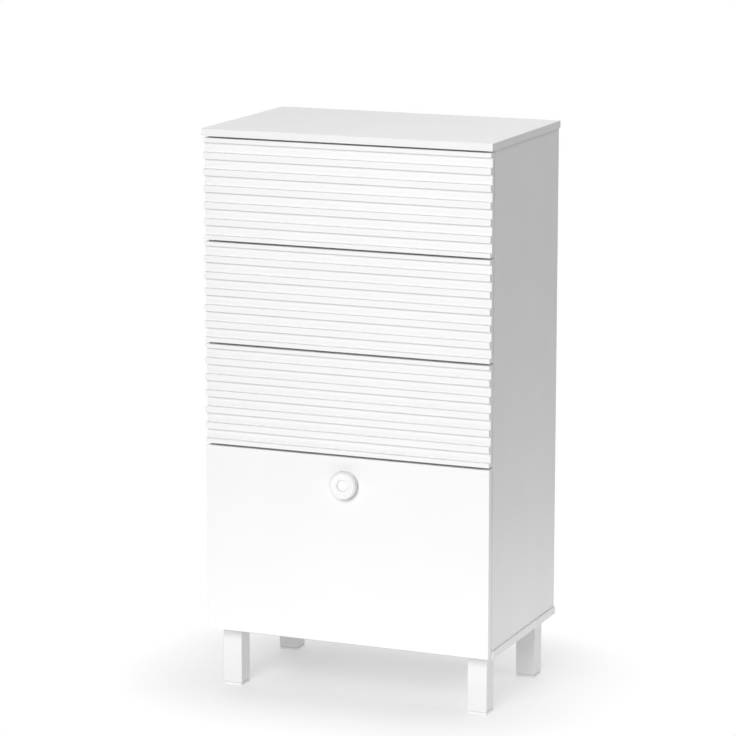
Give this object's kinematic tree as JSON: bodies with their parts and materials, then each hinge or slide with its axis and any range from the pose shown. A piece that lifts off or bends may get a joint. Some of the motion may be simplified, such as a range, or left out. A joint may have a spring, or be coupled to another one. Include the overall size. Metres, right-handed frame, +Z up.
{
  "type": "drawer cabinet",
  "caption": "Tall white bathroom cabinet on square legs: ribbed push-open drawers above a plain tilt-out laundry front with a round knob.",
  "frame": {"origin": "on the floor, at the middle of the cabinet's outline seen from above", "axes": "+Z up, +X to the right seen from the front, +Y from the front to the back"},
  "size_m": [0.6, 0.399, 1.123],
  "materials": {
    "white_melamine_board": "white melamine-faced board, satin, edge-banded",
    "white_lacquered_mdf": "white sprayed lacquer on milled MDF, satin",
    "white_box_board": "white melamine-faced board, matt",
    "white_faced_hardboard": "hardboard with a white face and a brown rear face",
    "white_lacquered_wood": "white sprayed lacquer on solid wood, satin",
    "white_foot_plastic": "moulded plastic, matt",
    "zinc_plated_steel": "bright zinc-plated rolled steel",
    "bearing_steel": "polished steel balls",
    "nickel_plated_steel": "nickel-plated steel",
    "zinc_die_casting": "die-cast zinc, dull",
    "beech_dowel": "fluted beech",
    "grey_nylon": "moulded grey nylon",
    "clear_silicone": "soft clear silicone"
  },
  "bodies": {
    "carcass": {"top_panel": "white_melamine_board", "bottom_panel": "white_melamine_board", "left_side_panel": "white_melamine_board", "right_side_panel": "white_melamine_board", "divider_shelf": "white_melamine_board", "tilt_stop_blocks": "white_box_board", "back_panel": "white_faced_hardboard", "front_left_leg": "white_lacquered_wood", "front_right_leg": "white_lacquered_wood", "back_left_leg": "white_lacquered_wood", "back_right_leg": "white_lacquered_wood", "foot_pads": "white_foot_plastic", "runner_screws": "zinc_plated_steel", "leg_bolts": "zinc_plated_steel", "drawer_1_outer_runners": "zinc_plated_steel", "drawer_2_outer_runners": "zinc_plated_steel", "drawer_3_outer_runners": "zinc_plated_steel", "hinge_base_leaf": "nickel_plated_steel", "hinge_pin": "nickel_plated_steel", "cam_bolts": "nickel_plated_steel", "cam_discs": "zinc_die_casting", "carcass_dowels": "beech_dowel", "push_open_units": "grey_nylon", "flap_bumpers": "clear_silicone"},
    "drawer_1": {"drawer_1_front": "white_lacquered_mdf", "drawer_1_left_side": "white_box_board", "drawer_1_right_side": "white_box_board", "drawer_1_back": "white_box_board", "drawer_1_bottom": "white_faced_hardboard", "drawer_1_dowels": "beech_dowel", "drawer_1_inner_runners": "zinc_plated_steel"},
    "drawer_1_middle": {"drawer_1_middle_runners": "zinc_plated_steel", "drawer_1_runner_balls": "bearing_steel"},
    "drawer_2": {"drawer_2_front": "white_lacquered_mdf", "drawer_2_left_side": "white_box_board", "drawer_2_right_side": "white_box_board", "drawer_2_back": "white_box_board", "drawer_2_bottom": "white_faced_hardboard", "drawer_2_dowels": "beech_dowel", "drawer_2_inner_runners": "zinc_plated_steel"},
    "drawer_2_middle": {"drawer_2_middle_runners": "zinc_plated_steel", "drawer_2_runner_balls": "bearing_steel"},
    "drawer_3": {"drawer_3_front": "white_lacquered_mdf", "drawer_3_left_side": "white_box_board", "drawer_3_right_side": "white_box_board", "drawer_3_back": "white_box_board", "drawer_3_bottom": "white_faced_hardboard", "drawer_3_dowels": "beech_dowel", "drawer_3_inner_runners": "zinc_plated_steel"},
    "drawer_3_middle": {"drawer_3_middle_runners": "zinc_plated_steel", "drawer_3_runner_balls": "bearing_steel"},
    "hamper": {"laundry_flap": "white_lacquered_mdf", "bin_left_side": "white_box_board", "bin_right_side": "white_box_board", "bin_back": "white_box_board", "bin_floor": "white_box_board", "bin_dowels": "beech_dowel", "knob": "white_lacquered_wood", "knob_screw": "zinc_plated_steel", "hinge_flap_leaf": "nickel_plated_steel"}
  },
  "joints": [
    {"name": "drawer_1_slide", "type": "slide", "parent": "carcass", "child": "drawer_1", "axis": [0, -1, 0], "range_m": [-0.0025, 0.29]},
    {"name": "drawer_1_middle_slide", "type": "slide", "parent": "carcass", "child": "drawer_1_middle", "axis": [0, -1, 0], "range_m": [-0.00125, 0.145]},
    {"name": "drawer_2_slide", "type": "slide", "parent": "carcass", "child": "drawer_2", "axis": [0, -1, 0], "range_m": [-0.0025, 0.29]},
    {"name": "drawer_2_middle_slide", "type": "slide", "parent": "carcass", "child": "drawer_2_middle", "axis": [0, -1, 0], "range_m": [-0.00125, 0.145]},
    {"name": "drawer_3_slide", "type": "slide", "parent": "carcass", "child": "drawer_3", "axis": [0, -1, 0], "range_m": [-0.0025, 0.29]},
    {"name": "drawer_3_middle_slide", "type": "slide", "parent": "carcass", "child": "drawer_3_middle", "axis": [0, -1, 0], "range_m": [-0.00125, 0.145]},
    {"name": "hamper_tilt", "type": "hinge", "parent": "carcass", "child": "hamper", "pos_m": [0, -0.1635, 0.1212], "axis": [1, 0, 0], "range_deg": [0, 38]}
  ],
  "couplings": [
    {"joint": "drawer_1_middle_slide", "follows": "drawer_1_slide", "ratio": 0.5},
    {"joint": "drawer_2_middle_slide", "follows": "drawer_2_slide", "ratio": 0.5},
    {"joint": "drawer_3_middle_slide", "follows": "drawer_3_slide", "ratio": 0.5}
  ]
}
